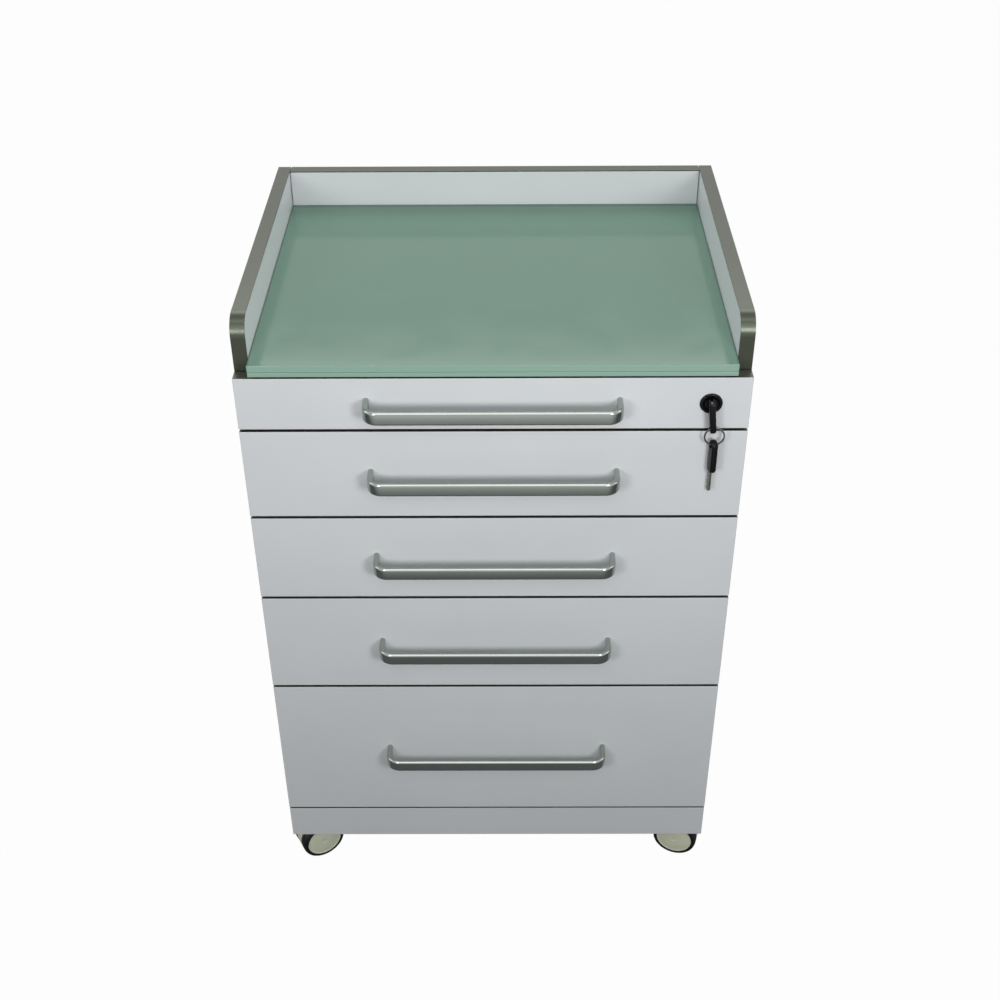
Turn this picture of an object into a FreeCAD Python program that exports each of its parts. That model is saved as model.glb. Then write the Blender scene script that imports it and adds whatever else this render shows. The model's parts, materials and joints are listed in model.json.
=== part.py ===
import FreeCAD, Part
import math
import os
from types import SimpleNamespace

import Sketcher

# A mobile drawer cabinet for a dental room, built as the separate pieces that it comes apart into.
# Millimetres. X runs to the right, Y runs from the drawer fronts to the back, Z is up from the floor.
# The origin is on the floor, at the middle of the rectangle that the whole cabinet covers.

DIMENSIONS = [
    ("cabinet_width", 520, "carcass and fronts, over the side panels"),
    ("side_depth", 385, "side panel with its front band, front to back"),
    ("board", 15, "laminated board"),
    ("arris", 0.6, "rounding of the edges of a board"),
    ("front_gap", 1, "back of a drawer front to the carcass"),
    ("drawer_gap", 3, "between two fronts"),
    ("castor_height", 65, "floor to the underside of the bottom panel"),
    ("plinth_height", 49, "rail below the lowest drawer"),
    ("front_top_height", 60, "front of the top drawer"),
    ("front_second_height", 107, "front of the second drawer"),
    ("front_third_height", 108, "front of the third drawer"),
    ("front_fourth_height", 131, "front of the fourth drawer"),
    ("front_lowest_height", 205, "front of the lowest drawer"),
    ("gallery_height", 57, "top edge of the top drawer to the top of the side panels"),
    ("gallery_radius", 20, "front corner of the side panels"),
    ("band", 1, "edge band of the side panels and the back"),
    ("glass_lift", 1.5, "top edge of the top drawer to the lower sheet of glass"),
    ("glass", 8, "upper sheet of the worktop glass"),
    ("lower_glass", 5.4, "lower sheet of the worktop glass, lacquered below"),
    ("glass_arris", 0.8, "ground edge of the glass"),
    ("back_seam", 0.8, "end of the back board to a side panel"),
    ("glass_clearance", 0.5, "glass to a side panel or the back"),
    ("dowel_radius", 4, "beech dowel"),
    ("dowel_in_side", 11, "depth of a dowel in a side panel"),
    ("dowel_in_end", 19, "depth of a dowel in the end of a panel"),
    ("dowel_inset", 45, "outer dowels from the edges of the panel"),
    ("tray_sheet", 1, "sheet steel of a drawer tray"),
    ("tray_short", 2, "back of a tray to the back end of its slides"),
    ("tray_rise", 12, "lower edge of a front to the tray"),
    ("tray_drop", 20, "upper edge of a front to the tray"),
    ("tray_corner", 3, "upright corner of a tray"),
    ("slide_width", 12.7, "telescopic slide, side panel to tray"),
    ("slide_height", 35, "telescopic slide, its outer member"),
    ("slide_clearance", 19, "back end of a closed slide to the back panel"),
    ("slide_sheet", 1.2, "steel of the slide members"),
    ("slide_play", 0.3, "running gap between two slide members"),
    ("slide_lip", 11.2, "depth of the outer and middle members"),
    ("slide_inset", 1, "front edge of the carcass to a slide"),
    ("handle_spacing", 256, "between the two screws of a handle"),
    ("handle_reach", 30, "drawer front to the outer face of the handle"),
    ("handle_thickness", 6, "flat bar of the handle"),
    ("handle_height", 15.5, "flat bar of the handle, seen from the front"),
    ("handle_bend", 15.5, "outer bend of the handle"),
    ("handle_arris", 1.4, "rounded edge of the handle bar"),
    ("screw_radius", 1.75, "handle screw"),
    ("screw_play", 0.05, "handle screw to its hole"),
    ("screw_bite", 14, "handle screw in the handle"),
    ("screw_head_radius", 4, "head of the handle screw"),
    ("screw_head", 2.4, "thickness of the head of the handle screw"),
    ("castor_inset_side", 43, "castor axis from the outside of a side panel"),
    ("castor_inset_depth", 49.5, "castor axis from the drawer fronts and from the back"),
    ("castor_plate", 2.5, "mounting plate of a castor"),
    ("castor_plate_side", 42, "mounting plate of a castor, square"),
    ("castor_plate_corner", 5, "rounded corner of the mounting plate"),
    ("castor_trail", 20, "castor axis to the wheel axle"),
    ("wheel_radius", 28, "castor wheel"),
    ("wheel_width", 14, "one of the two wheels"),
    ("wheel_shoulder", 2.5, "rounded shoulder of the tyre"),
    ("wheel_pair_width", 40, "over the two wheels"),
    ("hub_radius", 23.2, "pale cover disc of a wheel"),
    ("hub_crown", 1.6, "how far the cover disc is domed"),
    ("wheel_play", 0.3, "wheel to the castor housing"),
    ("axle_radius", 3, "axle of the wheels"),
    ("axle_play", 0.05, "wheel to its axle"),
    ("axle_cover", 3.2, "outer face of a wheel to the end of its axle bore"),
    ("housing_radius", 27.7, "castor housing between the wheels"),
    ("housing_neck", 20, "housing round the swivel pin, front to back"),
    ("housing_floor", 9, "floor to the housing"),
    ("housing_cap_radius", 15, "round cap at the top of the housing"),
    ("housing_cap", 4.6, "thickness of the round cap"),
    ("swivel_radius", 4, "swivel pin"),
    ("swivel_length", 11, "swivel pin below its plate"),
    ("swivel_play", 0.05, "swivel pin to the housing"),
    ("swivel_gap", 0.3, "plate to the cap of the housing"),
    ("castor_front_left_turn", 209.7, "direction of the trail, degrees from +X"),
    ("castor_front_right_turn", -18.5, "direction of the trail, degrees from +X"),
    ("castor_back_left_turn", 160, "direction of the trail, degrees from +X"),
    ("castor_back_right_turn", 12, "direction of the trail, degrees from +X"),
    ("lock_inset", 40.2, "lock axis from the outside of the right side panel"),
    ("lock_drop", 29.8, "lock axis below the top edge of the top drawer"),
    ("lock_radius", 9, "lock cylinder"),
    ("lock_play", 0.3, "lock cylinder to its hole in the front"),
    ("rosette_radius", 11.6, "round collar of the lock"),
    ("rosette_thickness", 2, "round collar of the lock"),
    ("rosette_arris", 0.8, "rounded rim of the collar"),
    ("plug_radius", 6.5, "turning plug of the lock"),
    ("plug_play", 0.05, "plug to the lock cylinder"),
    ("plug_recess", 0.4, "plug behind the face of the collar"),
    ("plug_end_gap", 0.4, "end of the plug to the bolt"),
    ("lock_case_width", 20, "case of the lock bolt"),
    ("lock_case_drop", 16, "lock axis to the bottom of the case"),
    ("lock_case_rise", 14.3, "lock axis to the top of the case"),
    ("lock_case_depth", 22, "back of the front to the back of the case"),
    ("bolt_width", 13, "lock bolt"),
    ("bolt_thickness", 3, "lock bolt"),
    ("bolt_setback", 15, "back of the front to the bolt"),
    ("bolt_play", 0.15, "bolt to its channel"),
    ("bolt_drop", 10, "lock axis to the bottom of the bolt"),
    ("bolt_rise", 15, "lock axis to the top of the bolt, drawn in"),
    ("bolt_throw", 5.66, "travel of the bolt"),
    ("bolt_slot_play", 0.5, "drive pin to its slot in the bolt"),
    ("pin_throw", 4, "plug axis to its drive pin"),
    ("drive_pin_radius", 1.2, "drive pin of the plug"),
    ("strike_width", 34, "strike plate under the top panel"),
    ("strike_depth", 13, "strike plate under the top panel"),
    ("strike_sheet", 1.5, "strike plate under the top panel"),
    ("strike_play", 0.5, "bolt to the slot in the strike plate"),
    ("mortise_rise", 1.2, "thrown bolt to the end of its mortise"),
    ("key_turn", 6, "the key as photographed, degrees off upright"),
    ("key_width", 12, "key head, broad face"),
    ("key_length", 38.8, "key head"),
    ("key_thickness", 6.6, "key head"),
    ("key_arris", 0.9, "rounded edge of the key head"),
    ("key_clear", 2.6, "folded key head off the drawer front"),
    ("key_pivot", 6, "pivot of the blade from the end of the head"),
    ("key_eye", 4, "key blade round its pivot"),
    ("key_slot_play", 0.15, "blade to each cheek of the head"),
    ("key_slot_end", 0.3, "blade and its eye to the ends of the slot in the head"),
    ("key_window", 0.9, "radius of the round window in front of the eye"),
    ("key_pin_radius", 1.5, "pivot pin of the key"),
    ("key_pin_play", 0.05, "pivot pin to the blade"),
    ("blade_thickness", 2, "key blade"),
    ("blade_width", 6, "key blade"),
    ("blade_offset", 3, "middle of the blade beside its pivot"),
    ("blade_length", 31, "pivot to the tip of the blade"),
    ("blade_tip", 1.8, "chamfer at the tip of the blade"),
    ("blade_cut", 1.3, "depth of the cuts in the blade"),
    ("blade_cut_pitch", 4.2, "distance between two cuts"),
    ("keyway_play", 0.1, "blade to the keyway"),
    ("ring_hole_radius", 3.1, "hole for the ring in a key head"),
    ("ring_hole_inset", 5.4, "end of the key head to that hole"),
    ("ring_radius", 10, "key ring, to the middle of its wire"),
    ("ring_wire", 0.95, "radius of the wire"),
    ("ring_rest", 0.25, "middle of the hole in the first key down to the ring's wire"),
    ("spare_rest", 0.35, "middle of the hole in the spare key up to the ring's wire"),
    ("ring_shift", 2.5, "ring centre to the right of the first key"),
    ("spare_turn", 16, "spare key turned about its own length, degrees"),
    ("cut_over", 5, "how far a cutting shape runs past what it cuts"),
]
DRAWERS = ["top", "second", "third", "fourth", "lowest"]


def number(size):
    """The value of a size, or a plain number as it is."""
    return size.value if isinstance(size, Size) else float(size)


def text(size):
    """The sheet formula of a size, or a plain number written out."""
    return size.formula if isinstance(size, Size) else repr(size)


class Size:
    """A length that knows its value and the sheet formula that gives it."""

    def __init__(self, value, formula):
        self.value = float(value)
        self.formula = formula

    def __add__(self, other):
        return Size(self.value + number(other), f"({self.formula} + {text(other)})")

    def __radd__(self, other):
        return Size(number(other) + self.value, f"({text(other)} + {self.formula})")

    def __sub__(self, other):
        return Size(self.value - number(other), f"({self.formula} - {text(other)})")

    def __mul__(self, other):
        return Size(self.value * number(other), f"({self.formula} * {text(other)})")

    def __rmul__(self, other):
        return Size(number(other) * self.value, f"({text(other)} * {self.formula})")

    def __truediv__(self, other):
        return Size(self.value / number(other), f"({self.formula} / {text(other)})")

    def __neg__(self):
        return Size(-self.value, f"(-{self.formula})")


doc = FreeCAD.newDocument("cabinet")
sheet = doc.addObject("Spreadsheet::Sheet", "Sizes")
for row, (alias, value, meaning) in enumerate(DIMENSIONS, 1):
    sheet.set(f"A{row}", meaning)
    sheet.set(f"B{row}", str(value))
    sheet.setAlias(f"B{row}", alias)
doc.recompute()
d = SimpleNamespace(**{alias: Size(value, f"Sizes.{alias}") for alias, value, meaning in DIMENSIONS})


def bind(thing, name, size):
    """Ties a property to the sheet; a plain zero is set as it is."""
    if isinstance(size, Size):
        thing.setExpression(name, size.formula)


def place(thing, x=0, y=0, z=0):
    """Ties the place of an object to the sheet."""
    for axis, size in zip("xyz", (x, y, z)):
        bind(thing, f"Placement.Base.{axis}", size)
    return thing


def turn(thing, axis, degrees):
    """Turns an object about an axis through its own origin, by an angle on the sheet."""
    thing.Placement.Rotation = FreeCAD.Rotation(FreeCAD.Vector(*axis), number(degrees))
    bind(thing, "Placement.Rotation.Angle", degrees)
    return thing


def new_body(label):
    """An empty body."""
    body = doc.addObject("PartDesign::Body", "Body")
    body.Label = label
    return body


def new_sketch(body, plane, lift):
    """An empty sketch on one of the body's own origin planes, lifted along the plane's normal."""
    sketch = body.newObject("Sketcher::SketchObject", "Sketch")
    origin_plane = next(f for f in body.Origin.OriginFeatures if f.Role == plane)
    sketch.AttachmentSupport = [(origin_plane, "")]
    sketch.MapMode = "FlatFace"
    bind(sketch, "AttachmentOffset.Base.z", lift)
    return sketch


def fix_point(sketch, element, position, x, y):
    """Ties a sketch point to the sheet; a plain zero lies on the axis."""
    for kind, size, axis in (("DistanceX", x, -2), ("DistanceY", y, -1)):
        if isinstance(size, Size):
            rule = Sketcher.Constraint(kind, -1, 1, element, position, number(size))
            bind(sketch, f"Constraints[{sketch.addConstraint(rule)}]", size)
        else:
            sketch.addConstraint(Sketcher.Constraint("PointOnObject", element, position, axis))


def outline(body, plane, points, lift=0):
    """A closed sketch of straight lines through points."""
    sketch = new_sketch(body, plane, lift)
    corners = [FreeCAD.Vector(number(x), number(y), 0) for x, y in points]
    for start, end in zip(corners, corners[1:] + corners[:1]):
        sketch.addGeometry(Part.LineSegment(start, end))
    for i in range(len(points)):
        sketch.addConstraint(Sketcher.Constraint("Coincident", i, 2, (i + 1) % len(points), 1))
    for i, (x, y) in enumerate(points):
        fix_point(sketch, i, 1, x, y)
    return sketch


def circle(body, plane, x, y, radius, lift=0):
    """A sketch of one circle."""
    sketch = new_sketch(body, plane, lift)
    centre = FreeCAD.Vector(number(x), number(y), 0)
    sketch.addGeometry(Part.Circle(centre, FreeCAD.Vector(0, 0, 1), number(radius)))
    rule = Sketcher.Constraint("Radius", 0, number(radius))
    bind(sketch, f"Constraints[{sketch.addConstraint(rule)}]", radius)
    fix_point(sketch, 0, 3, x, y)
    return sketch


def rectangle(low_x, high_x, low_y, high_y):
    """The corners of a rectangle, in order."""
    return [(low_x, low_y), (high_x, low_y), (high_x, high_y), (low_x, high_y)]


def feature(body, kind, sketch, length, midplane=False, reverse=False):
    """A pad or a pocket of a sketch."""
    made = body.newObject(f"PartDesign::{kind}", kind)
    made.Profile = sketch
    made.SideType = "Symmetric" if midplane else "One side"
    made.Reversed = reverse
    bind(made, "Length", length)
    return made


def pad(body, sketch, length, midplane=False, reverse=False):
    """Material along the sketch's normal."""
    return feature(body, "Pad", sketch, length, midplane, reverse)


def pocket(body, sketch, length, midplane=False, reverse=False):
    """A cut against the sketch's normal, or along it when reversed; it has to remove something."""
    doc.recompute()
    before = body.Shape.Volume
    made = feature(body, "Pocket", sketch, length, midplane, reverse)
    doc.recompute()
    if before - body.Shape.Volume < before * 1e-6:
        raise ValueError(f"a pocket in {body.Label} cuts nothing")
    return made


def round_edges(body, radius, wanted=None):
    """Rounds the edges of the body's last feature: all of them, or those that wanted accepts."""
    doc.recompute()
    tip = body.Tip
    made = body.newObject("PartDesign::Fillet", "Fillet")
    names = [f"Edge{i}" for i, edge in enumerate(tip.Shape.Edges, 1) if wanted is None or wanted(edge)]
    made.Base = (tip, names)
    made.UseAllEdges = wanted is None
    bind(made, "Radius", radius)
    return made


def runs_along(axis):
    """A test for straight edges along an axis, 0 for X, 1 for Y and 2 for Z."""
    def test(edge):
        box = edge.BoundBox
        spans = (box.XLength, box.YLength, box.ZLength)
        return spans[axis] > 0 and sum(spans) - spans[axis] < 1e-6
    return test


def block(label, low_x, high_x, low_y, high_y, low_z, high_z, arris=None):
    """A rectangular body between two corners, with its edges rounded if asked."""
    body = new_body(label)
    pad(body, outline(body, "XY_Plane", rectangle(low_x, high_x, low_y, high_y), low_z), high_z - low_z)
    if arris is not None:
        round_edges(body, arris)
    return body


def rod(label, radius, length, axis, x=0, y=0, z=0):
    """A cylinder that starts at a place and runs along an axis."""
    turned = {"X": ((0, 1, 0), 90), "Y": ((1, 0, 0), -90), "Z": ((0, 0, 1), 0)}[axis]
    cylinder = doc.addObject("Part::Cylinder", "Rod")
    cylinder.Label = label
    bind(cylinder, "Radius", radius)
    bind(cylinder, "Height", length)
    cylinder.Placement.Rotation = FreeCAD.Rotation(FreeCAD.Vector(*turned[0]), turned[1])
    return place(cylinder, x, y, z)


def group(label, pieces):
    """Several separate solids under one name."""
    made = doc.addObject("Part::Compound", "Group")
    made.Label = label
    made.Links = pieces
    return made


def cut(label, base, tools):
    """A base less its tools."""
    made = doc.addObject("Part::Cut", "Cut")
    made.Label = label
    made.Base = base
    made.Tool = tools[0] if len(tools) == 1 else group(f"{label} tools", tools)
    return made


def fuse(label, pieces):
    """Overlapping pieces joined into one solid."""
    made = doc.addObject("Part::MultiFuse", "Fuse")
    made.Label = label
    made.Shapes = pieces
    made.Refine = True
    return made


def mirrored(label, source):
    """The piece on the other side of the cabinet."""
    made = doc.addObject("Part::Mirroring", "Mirror")
    made.Label = label
    made.Source = source
    made.Normal = FreeCAD.Vector(1, 0, 0)
    return made


# Places that several pieces share.
half_width = d.cabinet_width / 2
inner_half = half_width - d.board
back_half = inner_half - d.back_seam
front_y = (d.handle_reach - d.side_depth - d.front_gap - d.board) / 2
front_back_y = front_y + d.board
carcass_y = front_back_y + d.front_gap
back_y = carcass_y + d.side_depth
back_panel_y = back_y - d.board
plinth_top = d.castor_height + d.plinth_height

front_low = {}
front_height = {}
level = plinth_top
for name in reversed(DRAWERS):
    front_low[name] = level + d.drawer_gap
    front_height[name] = getattr(d, f"front_{name}_height")
    level = front_low[name] + front_height[name]
drawers_top = level
gallery_top = drawers_top + d.gallery_height
top_panel_top = drawers_top + d.glass_lift
top_panel_low = top_panel_top - d.board
bottom_panel_top = d.castor_height + d.board

tray_half = inner_half - d.slide_width
slide_front_y = carcass_y + d.slide_inset
slide_back_y = back_panel_y - d.slide_clearance
tray_back_y = slide_back_y - d.tray_short
lock_x = half_width - d.lock_inset
lock_z = drawers_top - d.lock_drop
bolt_y = front_back_y + d.bolt_setback
SINE_45 = 0.5 ** 0.5

# The keys hang from the lock: the pivot of the blade is in front of the drawer, and the ring lies in the
# hole at the lower end of the leaning key head.
pivot_y = -d.key_clear - d.key_width / 2
ring_hole_z = d.key_pivot - d.key_length + d.ring_hole_inset
hole_drop = ring_hole_z + d.blade_offset
lean = math.radians(number(d.key_turn))
lean_sine = Size(math.sin(lean), "sin(Sizes.key_turn * 1 deg)")
lean_cosine = Size(math.cos(lean), "cos(Sizes.key_turn * 1 deg)")
ring_x = lock_x - hole_drop * lean_sine + d.ring_shift
ring_y = front_y + pivot_y
ring_z = lock_z + hole_drop * lean_cosine - d.ring_rest - d.ring_radius
nodes = []


def keep(thing):
    """Lists an object as a piece to hand over."""
    nodes.append(thing)
    return thing


def side_panels():
    """The two side panels with their dowel holes."""
    body = new_body("left board")
    low, high = d.castor_height, gallery_top - d.band
    corners = rectangle(carcass_y + d.band, back_y, low, high)
    pad(body, outline(body, "YZ_Plane", corners, -half_width), d.board)
    corner_y = number(carcass_y + d.band)
    corner_z = number(high)

    def top_front(edge):
        box = edge.BoundBox
        return abs(box.YMax - corner_y) < 1e-6 and abs(box.ZMin - corner_z) < 1e-6 and box.YLength < 1e-6

    round_edges(body, d.gallery_radius - d.band, top_front)
    round_edges(body, d.arris)
    left = keep(cut("side_panel_left", body, [dowels_left]))
    keep(mirrored("side_panel_right", left))
    return left


def edge_bands():
    """The metal-look bands on the front and top edges of the side panels and on top of the back."""
    band = new_body("left band")
    low, high, face = d.castor_height, gallery_top, carcass_y
    corners = [(face, low), (face + d.band, low), (face + d.band, high - d.band), (back_y, high - d.band),
               (back_y, high), (face, high)]
    pad(band, outline(band, "YZ_Plane", corners, -half_width), d.board)
    for radius, setback in ((d.gallery_radius, 0), (d.gallery_radius - d.band, d.band)):
        corner_y, corner_z = number(face + setback), number(high - setback)
        round_edges(band, radius, lambda edge, y=corner_y, z=corner_z: (
            abs(edge.BoundBox.YMin - y) < 1e-6 and abs(edge.BoundBox.ZMax - z) < 1e-6
            and edge.BoundBox.YLength + edge.BoundBox.ZLength < 1e-6))
    back = block("back band", -back_half, back_half, back_panel_y, back_y, high - d.band, high)
    keep(group("gallery_edge_bands", [band, mirrored("right band", band), back]))


def dowels():
    """Dowels between the left side panel and the ends of the top, bottom and back panels."""
    pieces = []
    start_x = -inner_half - d.dowel_in_side
    length = d.dowel_in_side + d.dowel_in_end
    first_y, last_y = carcass_y + d.dowel_inset, back_panel_y - d.dowel_inset
    first_z, last_z = bottom_panel_top + d.dowel_inset, top_panel_low - d.dowel_inset
    for share in (0, 0.5, 1):
        y = first_y + (last_y - first_y) * share
        for z in (d.castor_height + d.board / 2, top_panel_low + d.board / 2):
            pieces.append(rod("dowel", d.dowel_radius, length, "X", start_x, y, z))
        z = first_z + (last_z - first_z) * share
        pieces.append(rod("dowel", d.dowel_radius, length, "X", start_x, back_panel_y + d.board / 2, z))
    return group("left dowels", pieces)


def panels():
    """The top, bottom and back panels, the plinth rail and the glass."""
    top = block("top board", -inner_half, inner_half, carcass_y, back_panel_y, top_panel_low, top_panel_top,
                d.arris)
    strike_y = bolt_y + d.bolt_thickness / 2
    recess = block("strike recess", lock_x - d.strike_width / 2, lock_x + d.strike_width / 2,
                   strike_y - d.strike_depth / 2, strike_y + d.strike_depth / 2,
                   top_panel_low - d.cut_over, top_panel_low + d.strike_sheet)
    slot = [lock_x - d.bolt_width / 2 - d.strike_play, lock_x + d.bolt_width / 2 + d.strike_play,
            bolt_y - d.strike_play, bolt_y + d.bolt_thickness + d.strike_play]
    mortise_top = lock_z + d.bolt_rise + d.bolt_throw + d.mortise_rise
    mortise = block("bolt mortise", *slot, top_panel_low - d.cut_over, mortise_top)
    keep(cut("top_panel", top, [dowels_left, dowels_right, recess, mortise]))
    plate = block("strike blank", lock_x - d.strike_width / 2, lock_x + d.strike_width / 2,
                  strike_y - d.strike_depth / 2, strike_y + d.strike_depth / 2,
                  top_panel_low, top_panel_low + d.strike_sheet)
    keep(cut("lock_strike_plate", plate, [mortise]))

    bottom = block("bottom board", -inner_half, inner_half, carcass_y, back_panel_y, d.castor_height,
                   bottom_panel_top, d.arris)
    keep(cut("bottom_panel", bottom, [dowels_left, dowels_right]))
    back = block("back board", -back_half, back_half, back_panel_y, back_y, d.castor_height,
                 gallery_top - d.band, d.arris)
    keep(cut("back_panel", back, [dowels_left, dowels_right]))
    keep(block("plinth_rail", -half_width, half_width, carcass_y - d.board, carcass_y, d.castor_height,
               plinth_top, d.arris))
    seam = top_panel_top + d.lower_glass
    for label, low, high in (("worktop_lower_glass", top_panel_top, seam), ("worktop_glass", seam, seam + d.glass)):
        keep(block(label, -inner_half + d.glass_clearance, inner_half - d.glass_clearance, front_y,
                   back_panel_y - d.glass_clearance, low, high, d.glass_arris))


def channel(label, web_x, web_sheet_x, lip_x, low_z, high_z):
    """One slide member: an upright web with a lip at its top and at its bottom, over the slide's length."""
    body = new_body(label)
    corners = [(web_x, low_z), (lip_x, low_z), (lip_x, low_z + d.slide_sheet),
               (web_sheet_x, low_z + d.slide_sheet), (web_sheet_x, high_z - d.slide_sheet),
               (lip_x, high_z - d.slide_sheet), (lip_x, high_z), (web_x, high_z)]
    length = slide_back_y - slide_front_y
    pad(body, outline(body, "XZ_Plane", corners, -slide_front_y), length, reverse=True)
    return body


def slides(name):
    """The three members of the left and right slides of a drawer."""
    middle_z = front_low[name] + (d.tray_rise + front_height[name] - d.tray_drop) / 2
    step = d.slide_sheet + d.slide_play
    members = []
    outer_lip = -inner_half + d.slide_lip
    for number_in in (0, 1):
        web = -inner_half + step * number_in
        half = d.slide_height / 2 - step * number_in
        members.append(channel(f"{name} slide member", web, web + d.slide_sheet, outer_lip,
                               middle_z - half, middle_z + half))
    half = d.slide_height / 2 - step * 2
    inner_lip = -inner_half + step * 2 + d.slide_play
    members.append(channel(f"{name} slide member", -tray_half, -tray_half - d.slide_sheet, inner_lip,
                           middle_z - half, middle_z + half))
    return [[member, mirrored(f"{name} slide member", member)] for member in members]


def handle(name, middle_z):
    """A bow handle bent from flat bar, with a screw hole in each leg, and its two screws."""
    body = new_body(f"{name} bow")
    outer = (d.handle_spacing + d.handle_thickness) / 2
    inner = outer - d.handle_thickness
    far = front_y - d.handle_reach
    near = far + d.handle_thickness
    low = middle_z - d.handle_height / 2
    corners = [(-outer, front_y), (-outer, far), (outer, far), (outer, front_y), (inner, front_y),
               (inner, near), (-inner, near), (-inner, front_y)]
    pad(body, outline(body, "XY_Plane", corners, low), d.handle_height)
    for radius, y in ((d.handle_bend, number(far)), (d.handle_bend - d.handle_thickness, number(near))):
        round_edges(body, radius, lambda edge, y=y: (
            edge.BoundBox.YLength < 1e-6 and edge.BoundBox.XLength < 1e-6
            and abs(edge.BoundBox.YMin - y) < 1e-6))
    face_y = number(front_y)
    round_edges(body, d.handle_arris, lambda edge: (
        edge.BoundBox.ZLength < 1e-6 and edge.BoundBox.YMin < face_y - 1e-6))
    holes = []
    screws = []
    inside_y = front_back_y + d.tray_sheet
    for side in (-1, 1):
        x = d.handle_spacing * side / 2
        hole_radius = d.screw_radius + d.screw_play
        length = d.screw_bite + d.board + d.tray_sheet
        holes.append(rod("screw hole", hole_radius, length, "Y", x, front_y - d.screw_bite, middle_z))
        shank = rod("shank", d.screw_radius, length, "Y", x, front_y - d.screw_bite, middle_z)
        head = rod("head", d.screw_head_radius, d.screw_head, "Y", x, inside_y, middle_z)
        screws.append(fuse("handle screw", [shank, head]))
    keep(cut(f"drawer_{name}_handle", body, holes))
    keep(group(f"drawer_{name}_handle_screws", screws))
    return holes


def drawer(name):
    """A drawer: front, steel tray, handle with screws, and its share of the slides."""
    low = front_low[name]
    high = low + front_height[name]
    holes = handle(name, low + front_height[name] / 2)
    board = block(f"{name} front board", -half_width, half_width, front_y, front_back_y, low, high, d.arris)
    body = new_body(f"{name} tray")
    tray_low, tray_high = low + d.tray_rise, high - d.tray_drop
    base = rectangle(-tray_half, tray_half, front_back_y, tray_back_y)
    pad(body, outline(body, "XY_Plane", base, tray_low), tray_high - tray_low)
    round_edges(body, d.tray_corner, runs_along(2))
    doc.recompute()
    solid = body.Tip
    top_z = number(tray_high)
    lid = next(i for i, face in enumerate(solid.Shape.Faces, 1) if face.BoundBox.ZMin > top_z - 1e-6)
    shell = body.newObject("PartDesign::Thickness", "Thickness")
    shell.Base = (solid, [f"Face{lid}"])
    bind(shell, "Value", d.tray_sheet)
    shell.Reversed = True
    tray_tools = list(holes)
    front_tools = list(holes)
    if name == DRAWERS[0]:
        front_tools.append(rod("lock hole", d.lock_radius + d.lock_play, d.board + d.cut_over * 2, "Y",
                               lock_x, front_y - d.cut_over, lock_z))
        side = d.lock_case_width / 2 + d.arris
        tray_tools.append(block("lock notch", lock_x - side, lock_x + side, front_back_y - d.cut_over,
                                front_back_y + d.cut_over, tray_low + d.tray_sheet, tray_high + d.cut_over))
    keep(cut(f"drawer_{name}_front", board, front_tools))
    keep(cut(f"drawer_{name}_tray", body, tray_tools))
    outer, middle, inner = slides(name)
    keep(group(f"drawer_{name}_slide_inner", inner))
    keep(group(f"drawer_{name}_slide_middle", middle))
    return outer


def lock():
    """The lock of the top drawer: collar with cylinder, bolt case, plug and bolt."""
    collar = new_body("collar")
    pad(collar, circle(collar, "XZ_Plane", 0, 0, d.rosette_radius), d.rosette_thickness)
    round_edges(collar, d.rosette_arris, lambda edge: edge.BoundBox.YMax < -1e-6)
    barrel = rod("barrel", d.lock_radius, d.bolt_setback + d.board - d.plug_end_gap, "Y")
    bore = rod("plug bore", d.plug_radius + d.plug_play, d.board * 2 + d.bolt_setback, "Y", 0,
               -d.rosette_thickness - d.cut_over)
    cylinder = cut("lock_cylinder", fuse("lock blank", [collar, barrel]), [bore])
    keep(place(cylinder, lock_x, front_y, lock_z))

    half = d.lock_case_width / 2
    case = block("case blank", -half, half, 0, d.lock_case_depth, -d.lock_case_drop, d.lock_case_rise)
    channel_half = d.bolt_width / 2 + d.bolt_play
    run = block("bolt channel", -channel_half, channel_half, d.bolt_setback - d.bolt_play,
                d.bolt_setback + d.bolt_thickness + d.bolt_play, -d.bolt_drop - d.bolt_play,
                d.lock_case_rise + d.cut_over)
    seat = rod("cylinder seat", d.lock_radius + d.lock_play, d.bolt_setback + d.cut_over, "Y", 0, -d.cut_over)
    keep(place(cut("lock_case", case, [run, seat]), lock_x, front_back_y, lock_z))

    plug = rod("plug blank", d.plug_radius, d.rosette_thickness - d.plug_recess + d.board + d.bolt_setback
               - d.plug_end_gap, "Y", 0, d.plug_recess - d.rosette_thickness)
    pin_offset = d.pin_throw * SINE_45
    drive_pin = rod("drive pin", d.drive_pin_radius, d.bolt_thickness, "Y", pin_offset,
                    d.board + d.bolt_setback - d.plug_end_gap - d.bolt_thickness / 3, -pin_offset)
    blade_half = d.blade_width / 2 + d.keyway_play
    keyway_end = pivot_y + d.blade_length + d.keyway_play
    keyway = block("keyway", -d.blade_thickness / 2 - d.keyway_play, d.blade_thickness / 2 + d.keyway_play,
                   -d.rosette_thickness - d.cut_over, keyway_end, -blade_half, blade_half)
    turning = cut("plug with pin", fuse("plug and pin", [plug, drive_pin]), [keyway])
    keep(turned_key("lock_plug", turning))

    bolt = block("bolt blank", -d.bolt_width / 2, d.bolt_width / 2, 0, d.bolt_thickness, -d.bolt_drop,
                 d.bolt_rise)
    reach = d.drive_pin_radius + d.bolt_slot_play
    slot = block("pin slot", pin_offset - reach, d.pin_throw + reach, -d.cut_over, d.cut_over,
                 -pin_offset - reach, -pin_offset + reach)
    lifted = d.bolt_throw * d.key_turn / 90
    keep(place(cut("lock_bolt", bolt, [slot]), lock_x, bolt_y, lock_z + lifted))


def turned_key(label, thing):
    """A piece that turns with the plug, set at the angle of the photographed key."""
    made = group(label, [thing])
    turn(made, (0, -1, 0), d.key_turn)
    return place(made, lock_x, front_y, lock_z)


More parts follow.
